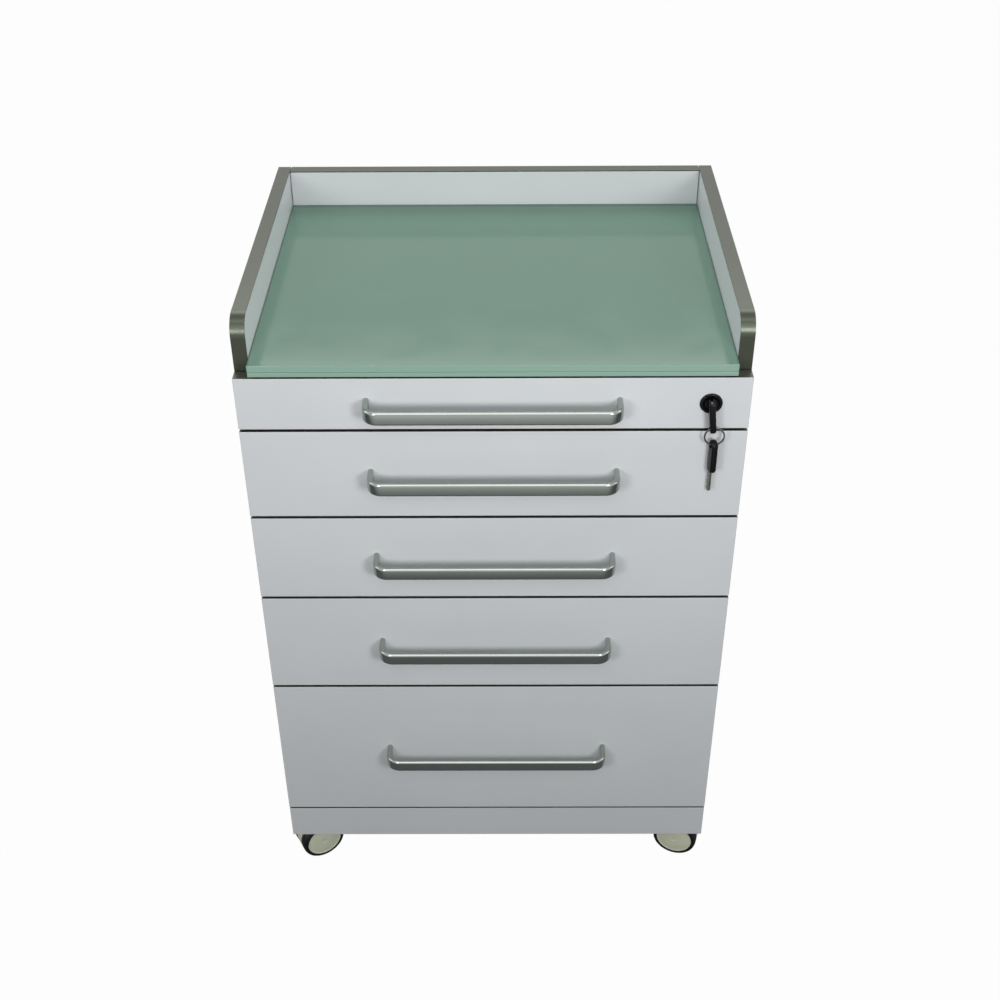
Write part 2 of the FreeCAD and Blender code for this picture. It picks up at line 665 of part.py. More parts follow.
def key_head(label):
    """A key head, pivot at the origin, hanging down from it, with its slot, ring hole and pivot pin."""
    body = new_body(f"{label} shell")
    half = d.key_width / 2
    corners = rectangle(-half, half, d.key_pivot - d.key_length, d.key_pivot)
    pad(body, outline(body, "YZ_Plane", corners, -d.key_thickness / 2), d.key_thickness)
    round_edges(body, half * 0.9, runs_along(0))
    round_edges(body, d.key_arris, lambda edge: edge.BoundBox.XLength < 1e-6)
    slot_half = d.blade_thickness / 2 + d.key_slot_play
    slot = block("blade slot", -slot_half, slot_half, -d.key_eye - d.key_slot_end, d.key_width,
                 -d.blade_offset - d.blade_width / 2 - d.key_slot_end, d.key_pivot + d.cut_over)
    window = rod("window", d.key_window, half, "Y", 0, -half - d.key_eye / 2)
    eye = rod("ring hole", d.ring_hole_radius, d.key_thickness + d.cut_over, "X",
              -(d.key_thickness + d.cut_over) / 2, 0, ring_hole_z)
    pin_hole = rod("pin hole", d.key_pin_radius, d.key_thickness, "X", -d.key_thickness / 2)
    pin = rod("pivot pin", d.key_pin_radius, d.key_thickness, "X", -d.key_thickness / 2)
    return group(label, [cut(f"{label} head", body, [slot, window, eye, pin_hole]), pin])


def key_blade(label):
    """A key blade, pivot at the origin, pointing up, with cuts along one edge."""
    body = new_body(f"{label} bar")
    near = d.blade_offset - d.blade_width / 2
    far = d.blade_offset + d.blade_width / 2
    tip = d.blade_length
    corners = [(near, 0), (far, 0), (far, tip - d.blade_tip), (far - d.blade_tip, tip),
               (near + d.blade_tip, tip), (near, tip - d.blade_tip)]
    pad(body, outline(body, "YZ_Plane", corners, -d.blade_thickness / 2), d.blade_thickness)
    eye = rod("eye", d.key_eye, d.blade_thickness, "X", -d.blade_thickness / 2)
    hole = rod("pivot hole", d.key_pin_radius + d.key_pin_play, d.blade_thickness + d.cut_over, "X",
               -(d.blade_thickness + d.cut_over) / 2)
    notches = []
    for i in range(1, 6):
        notch = new_body("notch")
        middle = tip - d.blade_tip - d.blade_cut_pitch * i
        depth = d.blade_cut * (1 if i % 2 else 0.6)
        points = [(far - depth, middle - depth / 2), (far - depth, middle + depth / 2),
                  (far + depth, middle + depth * 2.5), (far + depth, middle - depth * 2.5)]
        pad(notch, outline(notch, "YZ_Plane", points, -d.blade_thickness), d.blade_thickness * 2)
        notches.append(notch)
    return cut(label, fuse(f"{label} blank", [body, eye]), [hole] + notches)


def keys():
    """The folding key in the lock, the ring that hangs from it and the spare key on the ring."""
    head = place(key_head("key head"), 0, pivot_y, d.blade_offset)
    keep(turned_key("key_head", head))
    blade = key_blade("key blade")
    blade.Placement.Rotation = FreeCAD.Rotation(FreeCAD.Vector(1, 0, 0), -90)
    keep(turned_key("key_blade", place(blade, 0, pivot_y, d.blade_offset)))

    ring = doc.addObject("Part::Torus", "Ring")
    ring.Label = "key_ring"
    bind(ring, "Radius1", d.ring_radius)
    bind(ring, "Radius2", d.ring_wire)
    ring.Placement.Rotation = FreeCAD.Rotation(FreeCAD.Vector(1, 0, 0), 90)
    keep(place(ring, ring_x, ring_y, ring_z))

    spare_z = ring_z - d.ring_radius - d.spare_rest
    spare_head = key_head("spare head")
    spare_head.Placement.Rotation = FreeCAD.Rotation(FreeCAD.Vector(0, 1, 0), 180)
    spare_blade = key_blade("spare blade")
    spare_blade.Placement.Rotation = FreeCAD.Rotation(FreeCAD.Vector(0, 1, 0), 180)
    for label, piece in (("spare_key_head", spare_head), ("spare_key_blade", spare_blade)):
        hung = turn(group(label, [piece]), (0, 0, 1), d.spare_turn)
        keep(place(hung, ring_x, ring_y, spare_z + ring_hole_z))


def castor(name, x, y, direction):
    """A twin-wheel castor below the bottom panel: swivelling housing with its axle, and two wheels."""
    housing = new_body(f"{name} housing")
    gap_half = d.wheel_pair_width / 2 - d.wheel_width - d.wheel_play
    axle_z = d.wheel_radius
    pad(housing, circle(housing, "XZ_Plane", d.castor_trail, axle_z, d.housing_radius), gap_half * 2,
        midplane=True)
    cap_top = d.castor_height - d.castor_plate - d.swivel_gap
    neck = rectangle(-d.housing_neck / 2, d.castor_trail, axle_z, cap_top)
    pad(housing, outline(housing, "XZ_Plane", neck), gap_half * 2, midplane=True)
    pad(housing, circle(housing, "XY_Plane", 0, 0, d.housing_cap_radius, cap_top - d.housing_cap),
        d.housing_cap)
    axle_half = d.wheel_pair_width / 2 - d.axle_cover - d.wheel_play
    pad(housing, circle(housing, "XZ_Plane", d.castor_trail, axle_z, d.axle_radius), axle_half * 2,
        midplane=True)
    pocket(housing, circle(housing, "XY_Plane", 0, 0, d.swivel_radius + d.swivel_play, cap_top),
           d.swivel_length)
    under = rectangle(-d.wheel_radius * 2, d.wheel_radius * 3, -d.cut_over, d.housing_floor)
    pocket(housing, outline(housing, "XZ_Plane", under), d.wheel_pair_width * 2, midplane=True)
    wheels = []
    for side in (-1, 1):
        wheels += wheel(f"{name} wheel", side, axle_z)
    for label, pieces in (("housing", [housing]), ("wheels", wheels)):
        made = group(f"castor_{name}_{label}", pieces)
        keep(place(turn(made, (0, 0, 1), direction), x, y, 0))

    plate = new_body(f"{name} plate")
    half = d.castor_plate_side / 2
    low = d.castor_height - d.castor_plate
    pad(plate, outline(plate, "XY_Plane", rectangle(-half, half, -half, half), low), d.castor_plate)
    round_edges(plate, d.castor_plate_corner, runs_along(2))
    pad(plate, circle(plate, "XY_Plane", 0, 0, d.swivel_radius, low), d.swivel_length, reverse=True)
    return place(plate, x, y)


def wheel(label, side, axle_z):
    """One wheel of a pair: a tyre with a rounded tread and a domed cover disc, bored for the axle."""
    inner = d.wheel_pair_width / 2 - d.wheel_width
    outer = d.wheel_pair_width / 2
    face = outer - d.hub_crown
    tyre = new_body(f"{label} tyre")
    pad(tyre, circle(tyre, "XZ_Plane", d.castor_trail, axle_z, d.wheel_radius, inner), d.wheel_width)
    round_edges(tyre, d.wheel_shoulder)
    seat = rod("hub seat", d.hub_radius, d.wheel_width, "Y", d.castor_trail, -d.wheel_width - inner, axle_z)
    bore = rod("axle bore", d.axle_radius + d.axle_play, outer - d.axle_cover, "Y", d.castor_trail,
               d.axle_cover - outer, axle_z)
    ring = cut(f"{label} tread", tyre, [seat])
    disc = new_body(f"{label} disc")
    pad(disc, circle(disc, "XZ_Plane", d.castor_trail, axle_z, d.hub_radius, inner), face - inner)
    crown = new_body(f"{label} crown")
    pad(crown, circle(crown, "XZ_Plane", d.castor_trail, axle_z, d.hub_radius, face), d.hub_crown)
    round_edges(crown, d.hub_crown * 0.95, lambda edge: edge.BoundBox.YMin < -number(outer) + 1e-6)
    hub = cut(f"{label} hub", fuse(f"{label} hub blank", [disc, crown]), [bore])
    pieces = [ring, hub]
    if side > 0:
        pieces = [flipped(piece) for piece in pieces]
    return pieces


def flipped(piece):
    """The same piece on the other side of the castor's middle plane."""
    made = doc.addObject("Part::Mirroring", "Mirror")
    made.Label = f"{piece.Label} flipped"
    made.Source = piece
    made.Normal = FreeCAD.Vector(0, 1, 0)
    return made


dowels_left = dowels()
dowels_right = mirrored("right dowels", dowels_left)
side_panels()
edge_bands()
panels()
keep(group("carcass_dowels", [dowels_left, dowels_right]))
outer_members = []
for name in DRAWERS:
    outer_members += drawer(name)
keep(group("cabinet_slide_members", outer_members))
lock()
keys()
castor_x = half_width - d.castor_inset_side
castor_front_y = front_y + d.castor_inset_depth
castor_back_y = back_y - d.castor_inset_depth
keep(group("castor_plates", [
    castor("front_left", -castor_x, castor_front_y, d.castor_front_left_turn),
    castor("front_right", castor_x, castor_front_y, d.castor_front_right_turn),
    castor("back_left", -castor_x, castor_back_y, d.castor_back_left_turn),
    castor("back_right", castor_x, castor_back_y, d.castor_back_right_turn),
]))

doc.recompute()
for thing in doc.Objects:
    if "Invalid" in thing.State or "Error" in thing.State:
        raise ValueError(f"{thing.Label} failed: {thing.State}")
os.makedirs("parts", exist_ok=True)
for node in nodes:
    if node.Shape.isNull() or not node.Shape.isValid():
        raise ValueError(f"{node.Label} has no valid shape")
    node.Shape.exportStep(f"parts/{node.Label}.step")
    print(node.Label, len(node.Shape.Solids), round(node.Shape.Volume / 1000, 2))
print(len(nodes), "nodes")
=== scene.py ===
"""The looks of a mobile drawer cabinet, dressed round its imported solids. Metres throughout."""

import json
import logging
import math
from dataclasses import dataclass
from enum import Enum

import bmesh
import bpy
from mathutils import Matrix, Vector

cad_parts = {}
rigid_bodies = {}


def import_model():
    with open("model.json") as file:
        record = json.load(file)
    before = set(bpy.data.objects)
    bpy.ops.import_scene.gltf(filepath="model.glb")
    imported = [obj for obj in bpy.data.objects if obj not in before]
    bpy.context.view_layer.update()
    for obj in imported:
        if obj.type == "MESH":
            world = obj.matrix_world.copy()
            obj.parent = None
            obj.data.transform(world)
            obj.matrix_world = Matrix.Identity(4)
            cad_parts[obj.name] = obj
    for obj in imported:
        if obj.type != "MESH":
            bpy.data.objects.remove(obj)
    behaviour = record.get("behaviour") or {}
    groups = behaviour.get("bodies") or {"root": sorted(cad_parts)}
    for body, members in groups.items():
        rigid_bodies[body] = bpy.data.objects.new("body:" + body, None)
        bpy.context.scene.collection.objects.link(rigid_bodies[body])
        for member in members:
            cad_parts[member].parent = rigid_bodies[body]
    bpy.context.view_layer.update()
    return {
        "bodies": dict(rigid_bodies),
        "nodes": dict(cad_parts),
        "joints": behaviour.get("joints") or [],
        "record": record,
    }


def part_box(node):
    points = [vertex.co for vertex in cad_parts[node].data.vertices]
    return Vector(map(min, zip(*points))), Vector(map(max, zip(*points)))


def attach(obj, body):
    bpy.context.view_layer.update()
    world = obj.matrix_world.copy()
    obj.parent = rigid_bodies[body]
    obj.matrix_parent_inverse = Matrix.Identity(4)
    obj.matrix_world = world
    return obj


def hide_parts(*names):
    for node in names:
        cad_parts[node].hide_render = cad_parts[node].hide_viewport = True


Triple = tuple[float, float, float]
Colour = Triple
Point = tuple[float, float]
log = logging.getLogger("cabinet")
MM = 0.001
LEVEL = 0.1 * MM
TURNED_EDGE = math.radians(50)
MOULDED_EDGE = math.radians(32)
LARGEST_SHARE = 0.45


class Drawer(Enum):
    """The drawers, from the top down."""

    TOP = "top"
    SECOND = "second"
    THIRD = "third"
    FOURTH = "fourth"
    LOWEST = "lowest"


class Corner(Enum):
    """The castors, with the direction of each one's trail in degrees from +X."""

    FRONT_LEFT = ("front_left", 209.7)
    FRONT_RIGHT = ("front_right", -18.5)
    BACK_LEFT = ("back_left", 160.0)
    BACK_RIGHT = ("back_right", 12.0)


class Shader:
    """A node material while it is being wired."""

    def __init__(self, name: str) -> None:
        """Starts a material with a plain Principled surface.

        Args:
            name: the material's name.
        """
        self.material = bpy.data.materials.new(name)
        self.material.use_nodes = True
        self.tree = self.material.node_tree
        self.tree.nodes.clear()
        self.output = self.node("OutputMaterial")
        self.surface = self.node("BsdfPrincipled")
        self.link(self.surface.outputs[0], self.output.inputs[0])
        self.place = self.node("TexCoord").outputs["Object"]

    def node(self, kind: str, **settings: object) -> bpy.types.Node:
        """Adds a node.

        Args:
            kind: the node's type without its ShaderNode prefix.
            settings: properties of the node, by name.

        Returns:
            The new node.
        """
        made = self.tree.nodes.new("ShaderNode" + kind)
        for key, value in settings.items():
            setattr(made, key, value)
        return made

    def link(self, start: bpy.types.NodeSocket, end: bpy.types.NodeSocket) -> None:
        """Joins an output to an input."""
        self.tree.links.new(start, end)

    def axes(self, source: str) -> bpy.types.bpy_prop_collection:
        """The X, Y and Z of the place or of the way that a face looks.

        Args:
            source: Object for the place, Normal for the way that a face looks.

        Returns:
            The three sockets, X first.
        """
        parts = self.node("SeparateXYZ")
        self.link(self.node("TexCoord").outputs[source], parts.inputs[0])
        return parts.outputs

    def unsigned(self, value: bpy.types.NodeSocket) -> bpy.types.NodeSocket:
        """A value without its sign.

        Args:
            value: the socket with the value.

        Returns:
            The socket that gives the result.
        """
        size = self.node("Math", operation="ABSOLUTE")
        self.link(value, size.inputs[0])
        return size.outputs[0]

    def noise(self, size: float, stretch: Triple = (1, 1, 1), detail: float = 3.0) -> bpy.types.NodeSocket:
        """A noise in the object's own coordinates.

        Args:
            size: how large its blobs are, in metres.
            stretch: how many times longer than size they are along X, Y and Z.
            detail: the number of finer layers.

        Returns:
            The socket that gives its value.
        """
        mapping = self.node("Mapping")
        mapping.inputs["Scale"].default_value = tuple(1 / s for s in stretch)
        self.link(self.place, mapping.inputs["Vector"])
        made = self.node("TexNoise")
        made.inputs["Scale"].default_value = 1 / size
        made.inputs["Detail"].default_value = detail
        self.link(mapping.outputs[0], made.inputs["Vector"])
        return made.outputs[0]

    def ranged(self, value: bpy.types.NodeSocket, low: float, high: float, start: float = 0.3,
               end: float = 0.7) -> bpy.types.NodeSocket:
        """A value mapped from start..end to low..high and kept between them.

        Args:
            value: the socket to map.
            low: the result at start.
            high: the result at end.
            start: the lowest value that counts.
            end: the highest value that counts.

        Returns:
            The socket that gives the result.
        """
        made = self.node("MapRange")
        for key, number in (("From Min", start), ("From Max", end), ("To Min", low), ("To Max", high)):
            made.inputs[key].default_value = number
        self.link(value, made.inputs["Value"])
        return made.outputs[0]

    def mix(self, share: bpy.types.NodeSocket, first: Colour, second: Colour) -> bpy.types.NodeSocket:
        """A blend of two colours.

        Args:
            share: the socket that says how much of the second there is.
            first: the colour at 0.
            second: the colour at 1.

        Returns:
            The socket that gives the colour.
        """
        made = self.node("MixRGB")
        made.inputs[1].default_value = (*first, 1)
        made.inputs[2].default_value = (*second, 1)
        self.link(share, made.inputs[0])
        return made.outputs[0]

    def bump(self, height: bpy.types.NodeSocket, depth: float) -> None:
        """Raises the surface.

        Args:
            height: the socket that gives the relief, from 0 to 1.
            depth: how high 1 stands, in metres.
        """
        made = self.node("Bump")
        made.inputs["Strength"].default_value = 1.0
        made.inputs["Distance"].default_value = depth
        self.link(height, made.inputs["Height"])
        self.link(made.outputs[0], self.surface.inputs["Normal"])


@dataclass(frozen=True)
class Finish:
    """A surface with soft clouds of tone, a fine grain and a little relief."""

    name: str
    colour: Colour
    roughness: float
    metallic: float = 0.0
    cloud: float = 0.06
    cloud_depth: float = 0.05
    grain: float = 0.0008
    stretch: Triple = (1, 1, 1)
    grain_depth: float = 0.06
    relief: float = 0.00001
    coat: float = 0.0
    coat_roughness: float = 0.08
    specular: float = 0.5

    def darker(self, depth: float) -> Colour:
        """The finish's colour, darkened by a share."""
        return tuple(c * (1 - depth) for c in self.colour)

    def make(self) -> bpy.types.Material:
        """Builds the material.

        Returns:
            The material.
        """
        shader = Shader(self.name)
        self.wire(shader)
        return shader.material

    def wire(self, shader: Shader) -> None:
        """Wires colour, roughness and relief.

        Args:
            shader: the material being built.
        """
        surface = shader.surface.inputs
        surface["Metallic"].default_value = self.metallic
        surface["Specular IOR Level"].default_value = self.specular
        surface["Coat Weight"].default_value = self.coat
        surface["Coat Roughness"].default_value = self.coat_roughness
        clouds = shader.ranged(shader.noise(self.cloud, detail=2.0), 0.0, 1.0)
        shader.link(shader.mix(clouds, self.colour, self.darker(self.cloud_depth)), surface["Base Color"])
        grain = shader.noise(self.grain, self.stretch)
        spread = self.roughness * self.grain_depth
        rough = shader.ranged(grain, self.roughness - spread, self.roughness + spread)
        shader.link(rough, surface["Roughness"])
        shader.bump(grain, self.relief)


@dataclass(frozen=True)
class BandedBoard(Finish):
    """Laminate on the broad faces of a board and a satin silver band on its edges."""

    band: Colour = (0.10, 0.105, 0.085)
    band_metallic: float = 0.75
    broad_axis: int = 1
    turn: Point = (0.70, 0.80)

    def wire(self, shader: Shader) -> None:
        """Wires the laminate, then the band by the direction that a face looks in.

        Args:
            shader: the material being built.
        """
        super().wire(shader)
        surface = shader.surface.inputs
        squareness = shader.unsigned(shader.axes("Normal")[self.broad_axis])
        broad = shader.ranged(squareness, 0.0, 1.0, *self.turn)
        face = surface["Base Color"].links[0].from_socket
        both = shader.node("MixRGB")
        both.inputs[1].default_value = (*self.band, 1)
        shader.link(broad, both.inputs[0])
        shader.link(face, both.inputs[2])
        shader.link(both.outputs[0], surface["Base Color"])
        shader.link(shader.ranged(broad, self.band_metallic, 0.0, 0.0, 1.0), surface["Metallic"])


@dataclass(frozen=True)
class WorktopGlass(Finish):
    """Green glass over lacquer, with painted shade in a strip along the back and the ends, beside the
    upstands, and paler ground edges.
    """

    edge: Colour = (0.26, 0.41, 0.335)
    # painted shade: the darker colour of the glass in the strip beside the back and end upstands
    painted_shade: Colour = (0.105, 0.20, 0.155)
    painted_shade_back_y: Point = (0.1915, 0.1935)
    painted_shade_end_x: Point = (0.2425, 0.2435)
    turn: Point = (0.5, 0.95)
    refraction: float = 1.52

    def over(self, shader: Shader, share: bpy.types.NodeSocket, colour: Colour) -> None:
        """Lays a colour over the base colour.

        Args:
            shader: the material being built.
            share: the socket that says how much of it shows.
            colour: the colour.
        """
        base = shader.surface.inputs["Base Color"]
        both = shader.node("MixRGB")
        shader.link(share, both.inputs[0])
        shader.link(base.links[0].from_socket, both.inputs[1])
        both.inputs[2].default_value = (*colour, 1)
        shader.link(both.outputs[0], base)

    def wire(self, shader: Shader) -> None:
        """Wires the tint, the painted shade along the back and the ends, the ground edges and the polish.

        Args:
            shader: the material being built.
        """
        super().wire(shader)
        shader.surface.inputs["IOR"].default_value = self.refraction
        x, y, _ = shader.axes("Object")
        # painted shade: the glass darkens in a strip along the back and the ends, where the upstands shade it
        self.over(shader, shader.ranged(y, 0.0, 1.0, *self.painted_shade_back_y), self.painted_shade)
        self.over(shader, shader.ranged(shader.unsigned(x), 0.0, 1.0, *self.painted_shade_end_x), self.painted_shade)
        levelness = shader.unsigned(shader.axes("Normal")[2])
        self.over(shader, shader.ranged(levelness, 1.0, 0.0, *self.turn), self.edge)


@dataclass(frozen=True)
class BeechWood(Finish):
    """Turned beech with its grain along X."""

    vein: Colour = (0.42, 0.27, 0.15)
    vein_width: float = 0.0012
    vein_stretch: Triple = (14, 1, 1)

    def wire(self, shader: Shader) -> None:
        """Wires the wood's veins over the plain finish.

        Args:
            shader: the material being built.
        """
        super().wire(shader)
        figure = shader.noise(self.vein_width, self.vein_stretch, 4.0)
        veins = shader.ranged(figure, 0.0, 1.0, 0.45, 0.7)
        shader.link(shader.mix(veins, self.colour, self.vein), shader.surface.inputs["Base Color"])


LAMINATE = Finish("pale_grey_laminate", (0.66, 0.685, 0.70), 0.42, cloud=0.12, cloud_depth=0.03,
                  grain=0.0009, relief=0.000012)
FRONT_BOARD = BandedBoard("front_laminate_with_band", (0.66, 0.685, 0.70), 0.40, cloud=0.12,
                          cloud_depth=0.03, grain=0.0009, relief=0.000012)
EDGE_BAND = Finish("satin_silver_band", (0.066, 0.0745, 0.056), 0.32, metallic=0.75, cloud=0.05,
                   cloud_depth=0.05, grain=0.0004, stretch=(1, 30, 30), relief=0.000006)
HANDLE_METAL = Finish("satin_nickel_handle", (0.345, 0.375, 0.35), 0.11, metallic=1.0, cloud=0.04,
                      cloud_depth=0.04, grain=0.0003, stretch=(60, 1, 1), relief=0.0)
GLASS = WorktopGlass("green_worktop_glass", (0.147, 0.264, 0.202), 0.12, cloud=0.2, cloud_depth=0.02,
                     grain=0.05, grain_depth=0.3, relief=0.0, specular=0.26)
BLACK = Finish("gloss_black_lock", (0.005, 0.005, 0.006), 0.18, cloud=0.01, cloud_depth=0.3, grain=0.0004,
               relief=0.000003, specular=0.16)
KEY_STEEL = Finish("nickel_key_steel", (0.20, 0.195, 0.15), 0.30, metallic=1.0, cloud=0.006,
                   cloud_depth=0.2, grain=0.0003, stretch=(1, 1, 12), relief=0.000005)
RING_STEEL = Finish("spring_steel_ring", (0.14, 0.14, 0.135), 0.25, metallic=1.0, cloud=0.004,
                    cloud_depth=0.25, grain=0.0003, relief=0.000003)
ZINC = Finish("zinc_plated_steel", (0.56, 0.57, 0.58), 0.38, metallic=1.0, cloud=0.012, cloud_depth=0.14,
              grain=0.0012, relief=0.000008)
TRAY_PAINT = Finish("powder_coated_tray", (0.62, 0.635, 0.63), 0.48, cloud=0.08, cloud_depth=0.04,
                    grain=0.0016, grain_depth=0.12, relief=0.00003)
NYLON = Finish("olive_grey_nylon", (0.75, 0.78, 0.60), 0.42, cloud=0.02, cloud_depth=0.08, grain=0.0007,
               grain_depth=0.1, coat=0.15)
TYRE = Finish("black_castor_tread", (0.008, 0.008, 0.009), 0.45, cloud=0.01, cloud_depth=0.3, grain=0.0005,
              grain_depth=0.15, relief=0.000015, specular=0.2)
BEECH = BeechWood("beech_dowel", (0.62, 0.45, 0.29), 0.6)


class Workshop:
    """Makes finishes once each and puts them on pieces."""

    def __init__(self, frame: dict) -> None:
        """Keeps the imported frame.
        """
        self.frame = frame
        self.made: dict[str, bpy.types.Material] = {}

    def material(self, finish: Finish) -> bpy.types.Material:
        """The material of a finish, built the first time that it is asked for.

        Args:
            finish: the finish.

        Returns:
            The material.
        """
        if finish.name not in self.made:
            self.made[finish.name] = finish.make()
        return self.made[finish.name]

    def dress(self, node: str, finish: Finish) -> None:
        """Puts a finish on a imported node.

        Args:
            node: the node's name.
            finish: its finish.
        """
        piece = self.frame["nodes"][node]
        for slot in piece.material_slots:
            slot.material = self.material(finish)
        log.info("dressed %s with %s", node, finish.name)

    def add(self, name: str, mesh: bpy.types.Mesh, finish: Finish, body: str, slot: str,
            replaces: tuple[str, ...] = ()) -> None:
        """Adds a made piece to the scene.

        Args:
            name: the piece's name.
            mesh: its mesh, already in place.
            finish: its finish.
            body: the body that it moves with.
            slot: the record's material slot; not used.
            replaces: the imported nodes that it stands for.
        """
        mesh.name = name
        mesh.materials.clear()
        mesh.materials.append(self.material(finish))
        piece = bpy.data.objects.new(name, mesh)
        bpy.context.scene.collection.objects.link(piece)
        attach(piece, body)
        if replaces:
            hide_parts(*replaces)
        log.info("made %s with %d faces", name, len(mesh.polygons))


def lathe(name: str, profile: list[Point], place: Matrix, steps: int = 96) -> bpy.types.Mesh:
    """A closed surface of revolution about the local Z axis.

    Args:
        name: the mesh's name.
        profile: points as (radius, height); an end on the axis has a radius of 0.
        place: where the local frame lies.
        steps: the number of sides.

    Returns:
        The mesh.
    """
    work = bmesh.new()
    rings = []
    for radius, height in profile:
        if radius == 0:
            rings.append([work.verts.new((0, 0, height))])
            continue
        turns = [2 * math.pi * i / steps for i in range(steps)]
        rings.append([work.verts.new((radius * math.cos(a), radius * math.sin(a), height)) for a in turns])
    for low, high in zip(rings, rings[1:] + rings[:1]):
        for i in range(steps):
            j = (i + 1) % steps
            corners = [low[i % len(low)], low[j % len(low)], high[j % len(high)], high[i % len(high)]]
            unique = list(dict.fromkeys(corners))
            if len(unique) > 2:
                work.faces.new(unique)
    bmesh.ops.recalc_face_normals(work, faces=work.faces)
    work.transform(place)
    mesh = bpy.data.meshes.new(name)
    work.to_mesh(mesh)
    work.free()
    for face in mesh.polygons:
        face.use_smooth = True
    mesh.set_sharp_from_angle(angle=TURNED_EDGE)
    return mesh


def rounded(profile: list[Point], radius: float, steps: int = 5) -> list[Point]:
    """A profile with its inner corners rounded.

    Args:
        profile: the corners, as (radius, height).
        radius: the rounding.
        steps: the number of points on each arc.

    Returns:
        The rounded profile.
    """
    points = [profile[0]]
    for before, corner, after in zip(profile, profile[1:], profile[2:]):
        here = Vector(corner)
        back, ahead = Vector(before) - here, Vector(after) - here
        reach = min(radius, back.length * LARGEST_SHARE, ahead.length * LARGEST_SHARE)
        start, end = here + back.normalized() * reach, here + ahead.normalized() * reach
        for i in range(steps + 1):
            t = i / steps
            spot = start * (1 - t) ** 2 + here * (2 * t * (1 - t)) + end * t ** 2
            points.append((spot.x, spot.y))
    points.append(profile[-1])
    return points


